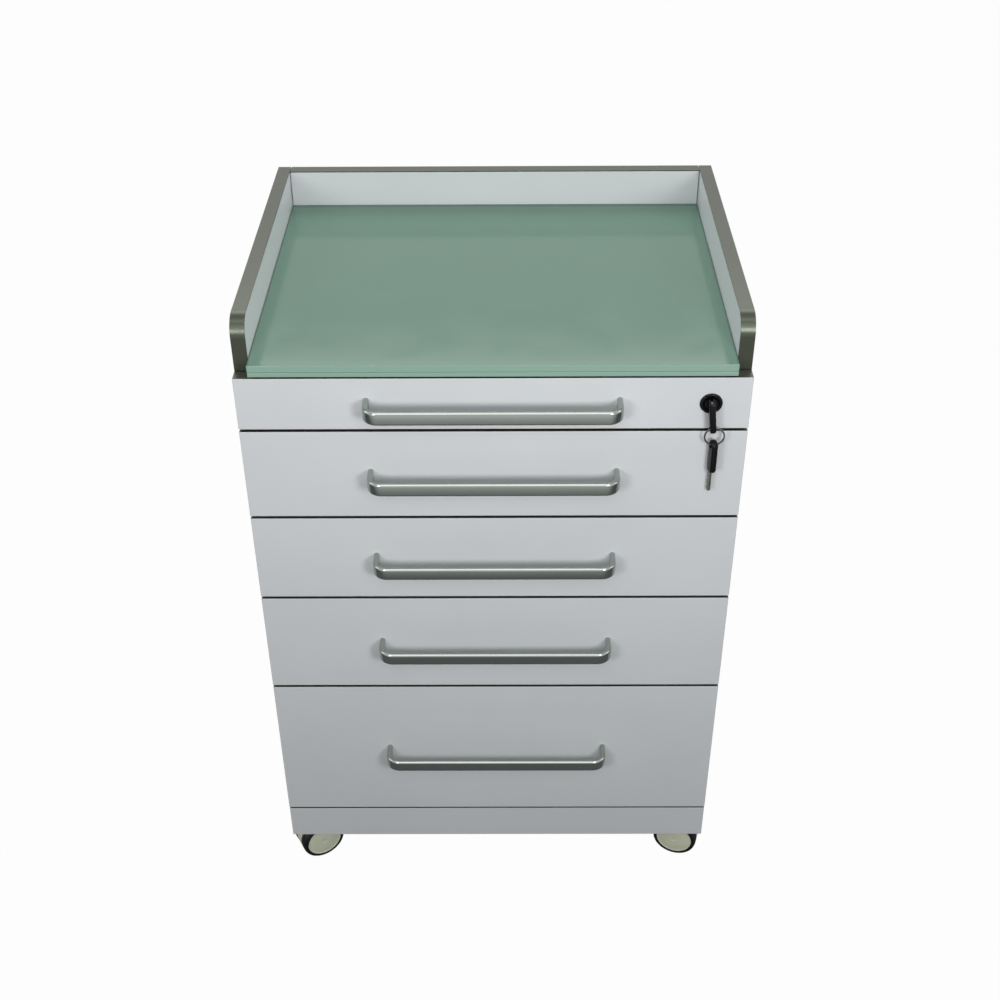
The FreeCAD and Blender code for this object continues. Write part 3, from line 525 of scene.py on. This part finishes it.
class GeometryTree:
    """A geometry node group while it is being wired."""

    def __init__(self, name: str, sizes: dict[str, float]) -> None:
        """Starts a group with a geometry input and named sizes.

        Args:
            name: the group's name.
            sizes: the named inputs and their values.
        """
        self.tree = bpy.data.node_groups.new(name, "GeometryNodeTree")
        self.tree.interface.new_socket("Geometry", in_out="OUTPUT", socket_type="NodeSocketGeometry")
        self.tree.interface.new_socket("Path", in_out="INPUT", socket_type="NodeSocketGeometry")
        for key, value in sizes.items():
            socket = self.tree.interface.new_socket(key, in_out="INPUT", socket_type="NodeSocketFloat")
            socket.default_value = value
        socket = self.tree.interface.new_socket("Finish", in_out="INPUT", socket_type="NodeSocketMaterial")
        self.inputs = self.tree.nodes.new("NodeGroupInput")
        self.result = self.tree.nodes.new("NodeGroupOutput")

    def node(self, kind: str, **settings: object) -> bpy.types.Node:
        """Adds a node.

        Args:
            kind: the node's type.
            settings: properties of the node, by name.

        Returns:
            The new node.
        """
        made = self.tree.nodes.new(kind)
        for key, value in settings.items():
            setattr(made, key, value)
        return made

    def link(self, start: bpy.types.NodeSocket, end: bpy.types.NodeSocket) -> None:
        """Joins an output to an input."""
        self.tree.links.new(start, end)

    @staticmethod
    def choose(node: bpy.types.Node, name: str, choice: str) -> None:
        """Sets a menu of a node, whether it is a property or a socket.

        Args:
            node: the node.
            name: the menu's name.
            choice: the wanted item, as it is shown.
        """
        if hasattr(node, name.lower()):
            setattr(node, name.lower(), choice.upper().replace(" ", "_"))
        else:
            node.inputs[name].default_value = choice

    def bar(self, curve: bpy.types.NodeSocket, width: str, height: str, steps: int) -> bpy.types.NodeSocket:
        """A bar swept along a curve, with edges rounded by the input Edge.

        Args:
            curve: the socket with the curve.
            width: the input with the section's width.
            height: the input with the section's height.
            steps: the number of points on each rounded edge.

        Returns:
            The socket with the bar.
        """
        given = self.inputs.outputs
        upright = self.node("GeometryNodeSetCurveNormal")
        self.choose(upright, "Mode", "Z Up")
        self.link(curve, upright.inputs[0])
        section = self.node("GeometryNodeCurvePrimitiveQuadrilateral")
        self.link(given[width], section.inputs["Width"])
        self.link(given[height], section.inputs["Height"])
        corners = self.node("GeometryNodeFilletCurve")
        self.choose(corners, "Mode", "Poly")
        corners.inputs["Count"].default_value = steps
        self.link(section.outputs[0], corners.inputs[0])
        self.link(given["Edge"], corners.inputs["Radius"])
        sweep = self.node("GeometryNodeCurveToMesh")
        sweep.inputs["Fill Caps"].default_value = True
        self.link(upright.outputs[0], sweep.inputs["Curve"])
        self.link(corners.outputs[0], sweep.inputs["Profile Curve"])
        return sweep.outputs[0]

    def moved(self, shape: bpy.types.NodeSocket, shift: Triple | Vector, turn: Triple = (0, 0, 0)
              ) -> bpy.types.NodeSocket:
        """A shape turned and then shifted.

        Args:
            shape: the socket with the shape.
            shift: the shift along X, Y and Z.
            turn: the turn about X, Y and Z, in degrees.

        Returns:
            The socket with the placed shape.
        """
        made = self.node("GeometryNodeTransform")
        made.inputs["Translation"].default_value = shift
        made.inputs["Rotation"].default_value = tuple(math.radians(a) for a in turn)
        self.link(shape, made.inputs[0])
        return made.outputs[0]

    def close(self, geometry: bpy.types.NodeSocket) -> None:
        """Ends the group in Realize Instances, smooth shading and Set Material.

        Args:
            geometry: the socket with the finished shape.
        """
        whole = self.node("GeometryNodeRealizeInstances")
        smooth = self.node("GeometryNodeSetShadeSmooth")
        material = self.node("GeometryNodeSetMaterial")
        self.link(geometry, whole.inputs[0])
        self.link(whole.outputs[0], smooth.inputs[0])
        self.link(smooth.outputs[0], material.inputs["Geometry"])
        self.link(self.inputs.outputs["Finish"], material.inputs["Material"])
        self.link(material.outputs[0], self.result.inputs[0])

    def run(self, path: bpy.types.Mesh, values: dict[str, object]) -> bpy.types.Mesh:
        """Runs the group on a mesh and keeps the plain result.

        Args:
            path: the mesh that goes in.
            values: the inputs' values by name.

        Returns:
            The finished mesh, with no modifier left.
        """
        carrier = bpy.data.objects.new("carrier", path)
        bpy.context.scene.collection.objects.link(carrier)
        modifier = carrier.modifiers.new("shape", "NODES")
        modifier.node_group = self.tree
        for item in self.tree.interface.items_tree:
            if item.in_out == "INPUT" and item.name in values:
                modifier[item.identifier] = values[item.name]
        graph = bpy.context.evaluated_depsgraph_get()
        mesh = bpy.data.meshes.new_from_object(carrier.evaluated_get(graph))
        bpy.data.objects.remove(carrier)
        return mesh


def wire_path(points: list[Vector]) -> bpy.types.Mesh:
    """A mesh of points joined by edges.

    Args:
        points: the points in order.

    Returns:
        The mesh.
    """
    mesh = bpy.data.meshes.new("path")
    mesh.from_pydata(points, [(i, i + 1) for i in range(len(points) - 1)], [])
    return mesh


@dataclass
class Handles:
    """The bow handles, each swept along its own bent path."""

    shop: Workshop
    thickness: float = 6.0 * MM
    height: float = 15.5 * MM
    bend: float = 15.5 * MM
    edge: float = 2.8 * MM
    bend_steps: int = 14
    edge_steps: int = 6

    def tree(self) -> GeometryTree:
        """A bar with rounded edges swept along a path with rounded bends.

        Returns:
            The geometry node group.
        """
        sizes = {"Thickness": self.thickness, "Height": self.height, "Bend": self.bend, "Edge": self.edge}
        made = GeometryTree("bow_handle", sizes)
        given = made.inputs.outputs
        curve = made.node("GeometryNodeMeshToCurve")
        made.link(given["Path"], curve.inputs[0])
        bends = made.node("GeometryNodeFilletCurve")
        made.choose(bends, "Mode", "Poly")
        bends.inputs["Count"].default_value = self.bend_steps
        made.link(curve.outputs[0], bends.inputs[0])
        made.link(given["Bend"], bends.inputs["Radius"])
        made.close(made.bar(bends.outputs[0], "Thickness", "Height", self.edge_steps))
        return made

    def build(self) -> None:
        """Builds one handle for each drawer in place of its plain solid."""
        tree = self.tree()
        for drawer in Drawer:
            body = f"drawer_{drawer.value}"
            node = f"{body}_handle"
            low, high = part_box(node)
            height = high[2] - low[2]
            middle = self.thickness / 2
            left, right = low[0] + middle, high[0] - middle
            near, far, level = high[1], low[1] + middle, (low[2] + high[2]) / 2
            path = wire_path([Vector((left, near, level)), Vector((left, far, level)),
                              Vector((right, far, level)), Vector((right, near, level))])
            values = {"Thickness": self.thickness, "Height": height, "Bend": self.bend - middle,
                      "Edge": self.edge, "Finish": self.shop.material(HANDLE_METAL)}
            mesh = tree.run(path, values)
            self.shop.add(f"{node}_bow", mesh, HANDLE_METAL, body, "handle_satin", (node,))


@dataclass
class Carcass:
    """The boards, the glass, the bands and the hidden fittings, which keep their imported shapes."""

    shop: Workshop
    boards: tuple[str, ...] = ("side_panel_left", "side_panel_right", "top_panel", "bottom_panel",
                               "back_panel")
    fittings: tuple[str, ...] = ("cabinet_slide_members", "lock_strike_plate", "castor_plates")

    def build(self) -> None:
        """Dresses the carcass."""
        for node in self.boards:
            self.shop.dress(node, LAMINATE)
        self.shop.dress("plinth_rail", FRONT_BOARD)
        self.shop.dress("gallery_edge_bands", EDGE_BAND)
        for node in ("worktop_glass", "worktop_lower_glass"):
            self.shop.dress(node, GLASS)
        self.shop.dress("carcass_dowels", BEECH)
        for node in self.fittings:
            self.shop.dress(node, ZINC)
        for drawer in Drawer:
            stem = f"drawer_{drawer.value}"
            self.shop.dress(f"{stem}_front", FRONT_BOARD)
            self.shop.dress(f"{stem}_tray", TRAY_PAINT)
            for part in ("handle_screws", "slide_inner", "slide_middle"):
                self.shop.dress(f"{stem}_{part}", ZINC)


@dataclass
class Lock:
    """The lock of the top drawer and its bunch of keys."""

    shop: Workshop
    rim: float = 11.6 * MM
    neck: float = 9.0 * MM
    bore: float = 6.55 * MM
    dish: float = 0.9 * MM
    rim_depth: float = 2.0 * MM
    collar_edge: float = 0.45 * MM
    ring: float = 10.0 * MM
    ring_turns: float = 1.95
    ring_steps: int = 72
    wire: float = 0.95 * MM
    wire_breadth: float = 1.7 * MM
    wire_edge: float = 0.3 * MM
    wire_steps: int = 3
    head: Triple = (6.6 * MM, 12.0 * MM, 38.8 * MM)
    head_corner: float = 5.4 * MM
    head_corner_steps: int = 10
    head_edge: float = 2.2 * MM
    head_edge_steps: int = 7
    head_above: float = 6.0 * MM
    ring_hole: float = 3.1 * MM
    pin: float = 1.5 * MM
    pin_proud: float = 0.16 * MM
    rod_sides: int = 48
    slot_width: float = 2.3 * MM
    slot_floor: float = -6.3 * MM
    slot_back: float = -4.3 * MM
    key_pivot: Triple = (0.219486, -0.1941, 0.713184)
    key_lean: float = -6.0
    spare_turn: float = 16.0

    def collar(self) -> None:
        """A dished collar with a raised rim and the barrel behind it, in place of the plain one."""
        low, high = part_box("lock_cylinder")
        centre = ((low[0] + high[0]) / 2, low[1], (low[2] + high[2]) / 2)
        depth = high[1] - low[1]
        corners = [(self.bore, depth), (self.bore, self.dish), (self.neck - 1.2 * MM, 0.7 * MM),
                   (self.neck - 0.2 * MM, 0.0), (self.rim - 1.0 * MM, 0.0), (self.rim, 0.9 * MM),
                   (self.rim, self.rim_depth), (self.neck, self.rim_depth), (self.neck, depth)]
        place = Matrix.Translation(centre) @ Matrix.Rotation(math.radians(-90), 4, "X")
        mesh = lathe("collar", rounded(corners, self.collar_edge), place)
        self.shop.add("lock_collar_and_barrel", mesh, BLACK, "drawer_top", "lock_black", ("lock_cylinder",))

    def split_ring(self) -> None:
        """A sprung ring wound twice from flat wire, in place of the plain ring."""
        low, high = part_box("key_ring")
        centre = Vector([(a + b) / 2 for a, b in zip(low, high)])
        sizes = {"Radius": self.ring, "Wire": self.wire, "Breadth": self.wire_breadth, "Edge": self.wire_edge}
        tree = GeometryTree("split_ring", sizes)
        given = tree.inputs.outputs
        coil = tree.node("GeometryNodeCurveSpiral")
        coil.inputs["Resolution"].default_value = self.ring_steps
        coil.inputs["Rotations"].default_value = self.ring_turns
        tree.link(given["Radius"], coil.inputs["Start Radius"])
        tree.link(given["Radius"], coil.inputs["End Radius"])
        tree.link(given["Wire"], coil.inputs["Height"])
        wound = tree.bar(coil.outputs[0], "Breadth", "Wire", self.wire_steps)
        tree.close(tree.moved(wound, centre - Vector((0, -self.wire / 2, 0)), (90, 0, 0)))
        values = {**sizes, "Finish": self.shop.material(RING_STEEL)}
        mesh = tree.run(wire_path([Vector(), Vector((self.ring, 0, 0))]), values)
        self.shop.add("split_key_ring", mesh, RING_STEEL, "key_ring", "key_steel", ("key_ring",))

    def head_block(self) -> bpy.types.Mesh:
        """The moulded block of a key head, rounded across its thickness and then along its rims.

        Returns:
            The mesh, pivot at the origin and hanging down from it.
        """
        block = bmesh.new()
        middle = Matrix.Translation((0, 0, self.head_above - self.head[2] / 2))
        bmesh.ops.create_cube(block, size=1.0, matrix=middle @ Matrix.Diagonal((*self.head, 1)))
        for across, offset, steps in ((True, self.head_corner, self.head_corner_steps),
                                      (False, self.head_edge, self.head_edge_steps)):
            edges = [e for e in block.edges if (abs(e.verts[0].co.x - e.verts[1].co.x) > LEVEL) == across]
            bmesh.ops.bevel(block, geom=edges, offset=offset, segments=steps, profile=0.5, affect="EDGES",
                            clamp_overlap=False)
        mesh = bpy.data.meshes.new("block")
        block.to_mesh(mesh)
        block.free()
        return mesh

    def key_head(self) -> bpy.types.Mesh:
        """A key head with its blade slot, its ring hole and its pivot pin.

        Returns:
            The mesh, pivot at the origin and hanging down from it.
        """
        sizes = {"Ring Hole": self.ring_hole, "Pin": self.pin, "Pin Length": self.head[0] + self.pin_proud,
                 "Thickness": self.head[0] * 2}
        tree = GeometryTree("key_head", sizes)
        given = tree.inputs.outputs
        cut = tree.node("GeometryNodeMeshBoolean", operation="DIFFERENCE", solver="EXACT")
        whole = tree.node("GeometryNodeJoinGeometry")
        tree.link(given["Path"], cut.inputs[0])
        hole_level = self.head_above - self.head[2] + self.head_corner
        for radius, depth, level, end in (("Ring Hole", "Thickness", hole_level, cut.inputs[1]),
                                          ("Pin", "Pin Length", 0.0, whole.inputs[0])):
            rod = tree.node("GeometryNodeMeshCylinder")
            rod.inputs["Vertices"].default_value = self.rod_sides
            tree.link(given[radius], rod.inputs["Radius"])
            tree.link(given[depth], rod.inputs["Depth"])
            tree.link(tree.moved(rod.outputs[0], (0, 0, level), (0, 90, 0)), end)
        slot_front, slot_top = self.head[1], self.head_above + 1.0 * MM
        gap = tree.node("GeometryNodeMeshCube")
        gap.inputs["Size"].default_value = (self.slot_width, slot_front - self.slot_back,
                                            slot_top - self.slot_floor)
        middle = (0, (slot_front + self.slot_back) / 2, (slot_top + self.slot_floor) / 2)
        tree.link(tree.moved(gap.outputs[0], middle), cut.inputs[1])
        tree.link(cut.outputs[0], whole.inputs[0])
        tree.close(whole.outputs[0])
        mesh = tree.run(self.head_block(), {**sizes, "Finish": self.shop.material(BLACK)})
        mesh.set_sharp_from_angle(angle=MOULDED_EDGE)
        return mesh

    def key_heads(self) -> None:
        """Hangs the head of the key from its pivot, and the spare one upside down on the ring."""
        low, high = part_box("spare_key_head")
        spare_pivot = Vector(((low[0] + high[0]) / 2, (low[1] + high[1]) / 2, low[2] + self.head_above))
        leaned = Matrix.Rotation(math.radians(self.key_lean), 4, "Y")
        turned = Matrix.Rotation(math.radians(self.spare_turn), 4, "Z") @ Matrix.Rotation(math.pi, 4, "Y")
        for name, body, place in (("key_head", "key_head", Matrix.Translation(self.key_pivot) @ leaned),
                                  ("spare_key_head", "spare_key", Matrix.Translation(spare_pivot) @ turned)):
            mesh = self.key_head()
            mesh.transform(place)
            self.shop.add(f"{name}_moulded", mesh, BLACK, body, "key_black", (name,))

    def build(self) -> None:
        """Builds the collar, the ring and the heads of the keys, and dresses the rest."""
        self.collar()
        self.split_ring()
        self.key_heads()
        self.shop.dress("lock_plug", BLACK)
        for node in ("key_blade", "spare_key_blade"):
            self.shop.dress(node, KEY_STEEL)
        for node in ("lock_case", "lock_bolt"):
            self.shop.dress(node, ZINC)


@dataclass
class Castors:
    """The twin-wheel castors."""

    shop: Workshop
    radius: float = 28.0 * MM
    width: float = 14.0 * MM
    inner: float = 6.0 * MM
    hub: float = 22.9 * MM
    axle: float = 3.05 * MM

    def tyre_profile(self) -> list[Point]:
        """The section of a tyre.

        Returns:
            The points, as (radius, distance from the castor's middle).
        """
        outer = self.inner + self.width
        corners = [(self.hub, self.inner + 0.4 * MM), (self.radius - 1.2 * MM, self.inner),
                   (self.radius, self.inner + 2.4 * MM), (self.radius, outer - 4.6 * MM),
                   (self.radius - 1.0 * MM, outer - 1.4 * MM), (self.hub + 1.2 * MM, outer),
                   (self.hub, outer - 0.7 * MM)]
        return rounded(corners, 2.2 * MM)

    def disc_profile(self) -> list[Point]:
        """The section of a domed cover disc with a bead at its rim and a dimple over the axle.

        Returns:
            The points, as (radius, distance from the castor's middle).
        """
        outer = self.inner + self.width
        hub = self.hub - 0.02 * MM
        corners = [(self.axle, self.inner + 0.2 * MM), (hub, self.inner + 0.4 * MM), (hub, outer - 1.5 * MM),
                   (hub - 0.6 * MM, outer - 0.7 * MM), (hub - 1.7 * MM, outer - 0.7 * MM),
                   (hub - 2.4 * MM, outer - 1.2 * MM), (hub * 0.55, outer - 0.25 * MM),
                   (4.0 * MM, outer), (2.6 * MM, outer - 0.5 * MM), (0.0, outer - 0.6 * MM)]
        return rounded(corners, 0.9 * MM) + [(0.0, outer - 4.0 * MM), (self.axle, outer - 4.0 * MM)]

    def build(self) -> None:
        """Builds two tyres and two cover discs for each castor, and dresses its housing."""
        for corner in Corner:
            name, direction = corner.value
            wheels = f"castor_{name}_wheels"
            low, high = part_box(wheels)
            axle = Vector(((low[0] + high[0]) / 2, (low[1] + high[1]) / 2, self.radius))
            turn = Matrix.Rotation(math.radians(direction), 4, "Z")
            for side, word in ((1, "near"), (-1, "far")):
                tilt = Matrix.Rotation(math.radians(-90 * side), 4, "X")
                place = Matrix.Translation(axle) @ turn @ tilt
                tyre = lathe("tyre", self.tyre_profile(), place)
                self.shop.add(f"castor_{name}_tyre_{word}", tyre, TYRE, wheels, "castor_tyre", (wheels,))
                disc = lathe("disc", self.disc_profile(), place)
                self.shop.add(f"castor_{name}_disc_{word}", disc, NYLON, wheels, "castor_grey", (wheels,))
            self.shop.dress(f"castor_{name}_housing", NYLON)


@dataclass
class PlateScrews:
    """The screws that hold each castor's plate, set out by one geometry node group."""

    shop: Workshop
    radius: float = 3.6 * MM
    rise: float = 1.9 * MM
    inset: float = 7.0 * MM
    plate: float = 42.0 * MM
    plate_thickness: float = 2.5 * MM

    def head(self) -> bpy.types.Object:
        """One pan head with a round recess in its face, hanging down from the origin.

        Returns:
            The object that the group copies.
        """
        corners = [(0.0, 0.0), (self.radius, 0.0), (self.radius, -self.rise * 0.5),
                   (self.radius * 0.6, -self.rise), (0.9 * MM, -self.rise), (0.6 * MM, -self.rise * 0.45),
                   (0.0, -self.rise * 0.4)]
        mesh = lathe("pan head", rounded(corners, 0.5 * MM, 2), Matrix.Identity(4), 20)
        return bpy.data.objects.new("pan head", mesh)

    def build(self) -> None:
        """Sets four screws on every castor plate."""
        low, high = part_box("castor_plates")
        level = high[2] - self.plate_thickness
        middle = self.plate / 2
        reach = middle - self.inset
        head = self.head()
        bpy.context.scene.collection.objects.link(head)
        tree = GeometryTree("plate_screws", {})
        source = tree.node("GeometryNodeObjectInfo")
        source.inputs["Object"].default_value = head
        copies = tree.node("GeometryNodeInstanceOnPoints")
        tree.link(tree.inputs.outputs["Path"], copies.inputs["Points"])
        tree.link(source.outputs["Geometry"], copies.inputs["Instance"])
        tree.close(copies.outputs[0])
        points = bpy.data.meshes.new("points")
        spots = []
        for x in (low[0] + middle, high[0] - middle):
            for y in (low[1] + middle, high[1] - middle):
                spots += [Vector((x + reach * a, y + reach * b, level)) for a in (-1, 1) for b in (-1, 1)]
        points.from_pydata(spots, [], [])
        mesh = tree.run(points, {"Finish": self.shop.material(ZINC)})
        bpy.data.objects.remove(head)
        self.shop.add("castor_plate_screws", mesh, ZINC, "cabinet", "slide_zinc")


@dataclass
class Studio:
    """The floor, the lights and the camera."""

    eye: Triple = (0.0145, -1.3955, 1.461)
    pitch: float = 0.6235
    yaw: float = -0.0066
    roll: float = -0.0064
    lens: float = 50.753
    sensor: float = 36.0
    ambient: float = 0.18
    ambient_tint: Colour = (0.96, 0.98, 1.0)
    floor_reach: float = 14.0
    floor_shade: float = 0.22
    shown_white: float = 0.98
    near_white: float = 0.0
    fade: Point = (-0.70, -1.70)

    def camera(self) -> None:
        """Sets the camera where the photograph was taken from."""
        data = bpy.data.cameras.new("camera")
        data.lens = self.lens
        data.sensor_width = self.sensor
        data.clip_end = 50.0
        seen = (Matrix.Rotation(self.roll, 3, "Y") @ Matrix.Rotation(self.pitch, 3, "X")
                @ Matrix.Rotation(self.yaw, 3, "Z"))
        right, forward, up = seen
        turn = Matrix((right, up, -forward)).transposed().to_4x4()
        camera = bpy.data.objects.new("camera", data)
        camera.matrix_world = Matrix.Translation(self.eye) @ turn
        bpy.context.scene.collection.objects.link(camera)
        bpy.context.scene.camera = camera

    @staticmethod
    def math(tree: bpy.types.NodeTree, operation: str, first: object, second: object) -> bpy.types.NodeSocket:
        """Adds one step of arithmetic.

        Args:
            tree: the node tree to add it to.
            operation: the step's name.
            first: a socket or a number.
            second: a socket or a number.

        Returns:
            The socket that gives the result.
        """
        made = tree.nodes.new("ShaderNodeMath")
        made.operation = operation
        for socket, value in zip(made.inputs, (first, second)):
            if isinstance(value, bpy.types.NodeSocket):
                tree.links.new(value, socket)
            else:
                socket.default_value = value
        return made.outputs[0]

    def seen_share(self, tree: bpy.types.NodeTree, mirrored: object = 1.0) -> bpy.types.NodeSocket:
        """How much of the plain white a ray is shown.

        Args:
            tree: the node tree to add it to.
            mirrored: the share for a reflection or for what glass shows, as a socket or a number.

        Returns:
            The socket that gives 1 for the camera's rays, mirrored for those, and nought for the others.
        """
        path = tree.nodes.new("ShaderNodeLightPath")
        share = path.outputs["Is Camera Ray"]
        for name in ("Is Glossy Ray", "Is Transmission Ray"):
            part = self.math(tree, "MULTIPLY", path.outputs[name], mirrored)
            share = self.math(tree, "MAXIMUM", share, part)
        return share

    def world(self) -> None:
        """A plain soft surround, shown as white."""
        world = bpy.data.worlds.new("surround")
        bpy.context.scene.world = world
        world.use_nodes = True
        tree = world.node_tree
        tree.nodes.clear()
        out = tree.nodes.new("ShaderNodeOutputWorld")
        mixed = tree.nodes.new("ShaderNodeMixShader")
        for i, (colour, strength) in ((1, (self.ambient_tint, self.ambient)), (2, ((1, 1, 1), 1.0))):
            glow = tree.nodes.new("ShaderNodeBackground")
            glow.inputs["Color"].default_value = (*colour, 1)
            glow.inputs["Strength"].default_value = strength
            tree.links.new(glow.outputs[0], mixed.inputs[i])
        tree.links.new(self.seen_share(tree), mixed.inputs[0])
        tree.links.new(mixed.outputs[0], out.inputs[0])

    def floor(self) -> None:
        """A wide pale floor that shows nearly white and keeps a soft shadow."""
        mesh = bpy.data.meshes.new("floor")
        reach = self.floor_reach
        corners = [(-reach, -reach, 0), (reach, -reach, 0), (reach, reach, 0), (-reach, reach, 0)]
        mesh.from_pydata(corners, [], [(0, 1, 2, 3)])
        material = bpy.data.materials.new("white floor")
        material.use_nodes = True
        tree = material.node_tree
        tree.nodes.clear()
        out = tree.nodes.new("ShaderNodeOutputMaterial")
        matt = tree.nodes.new("ShaderNodeBsdfDiffuse")
        matt.inputs["Color"].default_value = (self.floor_shade,) * 3 + (1,)
        glow = tree.nodes.new("ShaderNodeEmission")
        axes = tree.nodes.new("ShaderNodeSeparateXYZ")
        tree.links.new(tree.nodes.new("ShaderNodeTexCoord").outputs["Object"], axes.inputs[0])
        near = tree.nodes.new("ShaderNodeMapRange")
        span = (*self.fade, self.near_white, 1.0)
        for key, value in zip(("From Min", "From Max", "To Min", "To Max"), span):
            near.inputs[key].default_value = value
        tree.links.new(axes.outputs[1], near.inputs["Value"])
        share = self.seen_share(tree, near.outputs[0])
        mixed = tree.nodes.new("ShaderNodeMixShader")
        tree.links.new(self.math(tree, "MULTIPLY", share, self.shown_white), mixed.inputs[0])
        glow.inputs["Strength"].default_value = 1.0
        tree.links.new(matt.outputs[0], mixed.inputs[1])
        tree.links.new(glow.outputs[0], mixed.inputs[2])
        tree.links.new(mixed.outputs[0], out.inputs[0])
        mesh.materials.append(material)
        floor = bpy.data.objects.new("floor", mesh)
        bpy.context.scene.collection.objects.link(floor)

    def lamp(self, name: str, place: Triple, aim: Triple, size: Point, power: float) -> None:
        """Adds a soft lamp.

        Args:
            name: the lamp's name.
            place: where it is.
            aim: the point that it looks at.
            size: its width and height.
            power: its power in watts.
        """
        data = bpy.data.lights.new(name, "AREA")
        data.shape = "RECTANGLE"
        data.size, data.size_y = size
        data.energy = power
        lamp = bpy.data.objects.new(name, data)
        lamp.location = place
        lamp.rotation_euler = (Vector(aim) - Vector(place)).to_track_quat("-Z", "Y").to_euler()
        bpy.context.scene.collection.objects.link(lamp)

    def build(self) -> None:
        """Sets up the surround, the lamps and the camera."""
        scene = bpy.context.scene
        scene.view_settings.view_transform = "Standard"
        self.world()
        self.floor()
        for side, word, power in ((-1, "left", 3.8), (1, "right", 5.6)):
            self.lamp(f"{word} softbox", (0.52 * side, -1.20, 1.03), (0, -0.18, 0.80), (0.28, 0.28), power)
        self.lamp("wide softbox", (0.0, -1.65, 1.95), (0, -0.10, 0.80), (1.5, 0.85), 8.5)
        self.lamp("overhead softbox", (0.0, -0.50, 1.95), (0, 0.20, 0.77), (1.3, 0.40), 3.5)
        self.lamp("back softbox", (0.0, 0.95, 1.80), (0, 0.0, 0.80), (1.7, 0.70), 9.4)
        for word, place, height, power in (("left fill", (-2.0, 0.35, 1.1), 2.2, 13.0),
                                           ("right fill", (2.0, 0.35, 1.1), 2.2, 13.0),
                                           ("back fill", (0.0, 2.4, 0.62), 1.2, 6.6)):
            self.lamp(word, place, (0, 0.0, 0.45), (2.2, height), power)
        self.camera()


def main() -> None:
    """Dresses the cabinet piece by piece."""
    logging.basicConfig(level=logging.INFO, format="%(message)s")
    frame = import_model()
    shop = Workshop(frame)
    Studio().build()
    for part in (Carcass(shop), Handles(shop), Lock(shop), Castors(shop), PlateScrews(shop)):
        part.build()
        log.info("finished %s", type(part).__name__)


if __name__ == "__main__":
    main()
